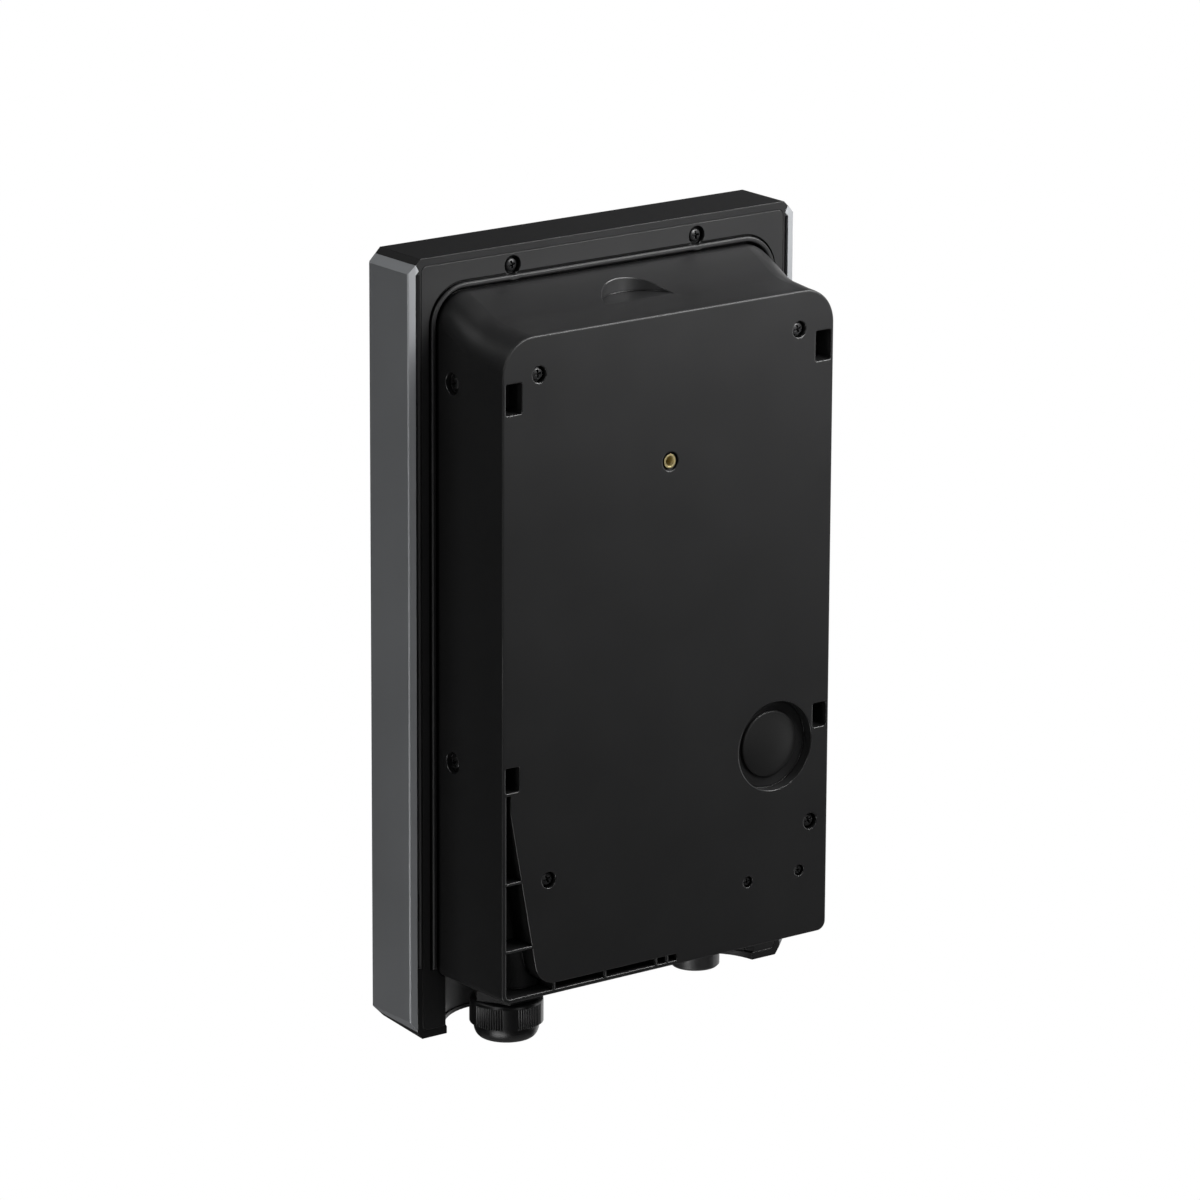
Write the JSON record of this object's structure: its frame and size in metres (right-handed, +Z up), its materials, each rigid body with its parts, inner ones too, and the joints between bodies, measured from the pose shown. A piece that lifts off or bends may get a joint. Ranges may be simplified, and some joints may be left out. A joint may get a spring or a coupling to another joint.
{
  "type": "ev wallbox",
  "caption": "Wall-mounted vehicle charger: chamfered front slab with side rails, deep rear housing with hook pockets and a cable channel, and a cable gland in a bay below.",
  "frame": {"origin": "middle of the rear housing's back face, on the wall plane", "axes": "+Y out of the back face into the wall, +Z up, +X to the right seen from the front"},
  "size_m": [0.1922, 0.071, 0.3224],
  "materials": {
    "housing_plastic": "fine matt grain",
    "rail_aluminium": "dark grey anodised, satin",
    "panel_plastic": "gloss",
    "light_plastic": "milky",
    "circuit_board": "solder mask",
    "seal_rubber": "matt",
    "insert_brass": "turned",
    "screw_metal": "black zinc",
    "gland_plastic": "satin",
    "component_plastic": "satin",
    "capacitor_can": "bare"
  },
  "bodies": {
    "wallbox": {"rear_housing": "housing_plastic", "mid_plate": "housing_plastic", "front_shell": "housing_plastic", "side_rail_left": "rail_aluminium", "side_rail_right": "rail_aluminium", "front_panel": "panel_plastic", "light_guide": "light_plastic", "light_board": "circuit_board", "reader_antenna": "circuit_board", "front_gasket": "seal_rubber", "housing_gasket": "seal_rubber", "rear_entry_plug": "seal_rubber", "threaded_insert": "insert_brass", "rear_screws": "screw_metal", "small_rear_screws": "screw_metal", "mid_plate_screws": "screw_metal", "side_screws": "screw_metal", "board_screws": "screw_metal", "gland_body": "gland_plastic", "gland_washer": "seal_rubber", "gland_seal": "seal_rubber", "blanking_plug": "gland_plastic", "blanking_washer": "seal_rubber", "cable_clamp": "component_plastic", "power_board": "circuit_board", "control_board": "circuit_board", "relays": "component_plastic", "supply_transformer": "component_plastic", "capacitors": "capacitor_can", "current_sensor": "component_plastic", "terminal_block": "component_plastic"},
    "gland_nut": {"gland_nut": "gland_plastic"}
  },
  "joints": [
    {"name": "gland_nut_turn", "type": "hinge", "parent": "wallbox", "child": "gland_nut", "pos_m": [0.0635, -0.0231, -0.1495], "axis": [0, 0, 1], "continuous": true}
  ]
}
